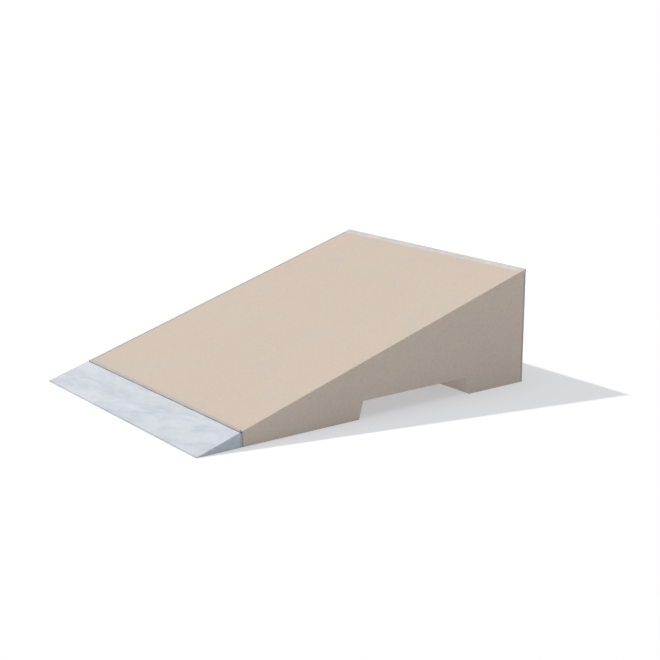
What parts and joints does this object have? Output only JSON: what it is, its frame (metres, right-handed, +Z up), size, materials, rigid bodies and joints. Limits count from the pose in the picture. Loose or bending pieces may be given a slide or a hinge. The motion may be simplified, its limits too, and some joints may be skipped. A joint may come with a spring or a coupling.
{
  "type": "loading ramp",
  "caption": "Free-standing concrete wedge for loading vehicles, with a fork tunnel underneath, a steel nosing and a steel toe that folds back on a long hinge.",
  "frame": {"origin": "on the ground, midway along the ramp's length and width", "axes": "+X runs up the ramp to its high rear edge, +Y is across it to the left when facing up the ramp, +Z is up"},
  "size_m": [2, 1.5, 0.606],
  "materials": {
    "concrete": "fair-faced fine beige concrete, matt",
    "galvanised": "hot-dip galvanised, cloudy, half matt",
    "zinc": "zinc plated, satin",
    "stud_steel": "plain weldable steel",
    "bar_steel": "hot-rolled, lightly rusted",
    "rubber": "matt black",
    "spacer": "fibre concrete, matt"
  },
  "bodies": {
    "block": {"concrete_block": "concrete", "nosing": "galvanised", "nosing_end_left": "galvanised", "nosing_end_right": "galvanised", "nosing_anchor_1": "galvanised", "nosing_anchor_2": "galvanised", "nosing_anchor_3": "galvanised", "nosing_anchor_4": "galvanised", "nosing_anchor_5": "galvanised", "nosing_anchor_6": "galvanised", "nosing_anchor_7": "galvanised", "front_plate": "galvanised", "front_stud_1": "stud_steel", "front_stud_2": "stud_steel", "front_stud_3": "stud_steel", "front_stud_4": "stud_steel", "front_stud_5": "stud_steel", "front_stud_6": "stud_steel", "front_stud_7": "stud_steel", "block_hinge_leaf": "zinc", "block_leaf_screws": "zinc", "hinge_pin": "zinc", "pin_cap_left": "zinc", "pin_cap_right": "zinc", "toe_buffer": "rubber", "buffer_screws": "zinc", "deck_long_bars": "bar_steel", "deck_cross_bars": "bar_steel", "front_foot_long_bars": "bar_steel", "front_foot_cross_bars": "bar_steel", "roof_long_bars": "bar_steel", "roof_cross_bars": "bar_steel", "rear_foot_long_bars": "bar_steel", "rear_foot_cross_bars": "bar_steel", "rear_upright_bars": "bar_steel", "rear_cross_bars": "bar_steel", "bar_spacers": "spacer", "lifting_socket_left": "zinc", "lifting_socket_right": "zinc", "socket_anchor_left": "bar_steel", "socket_anchor_right": "bar_steel"},
    "toe": {"toe_top_plate": "galvanised", "toe_back_plate": "galvanised", "toe_cheek_left": "galvanised", "toe_cheek_right": "galvanised", "toe_rib_1": "galvanised", "toe_rib_2": "galvanised", "toe_rib_3": "galvanised", "toe_rib_4": "galvanised", "toe_rib_5": "galvanised", "toe_rib_6": "galvanised", "toe_rib_7": "galvanised", "toe_foot_bar": "galvanised", "toe_hinge_leaf": "zinc", "toe_leaf_screws": "zinc"}
  },
  "joints": [
    {"name": "toe_fold", "type": "hinge", "parent": "block", "child": "toe", "pos_m": [-0.762, 0, 0.07492], "axis": [0, 1, 0], "range_deg": [0, 180]}
  ]
}
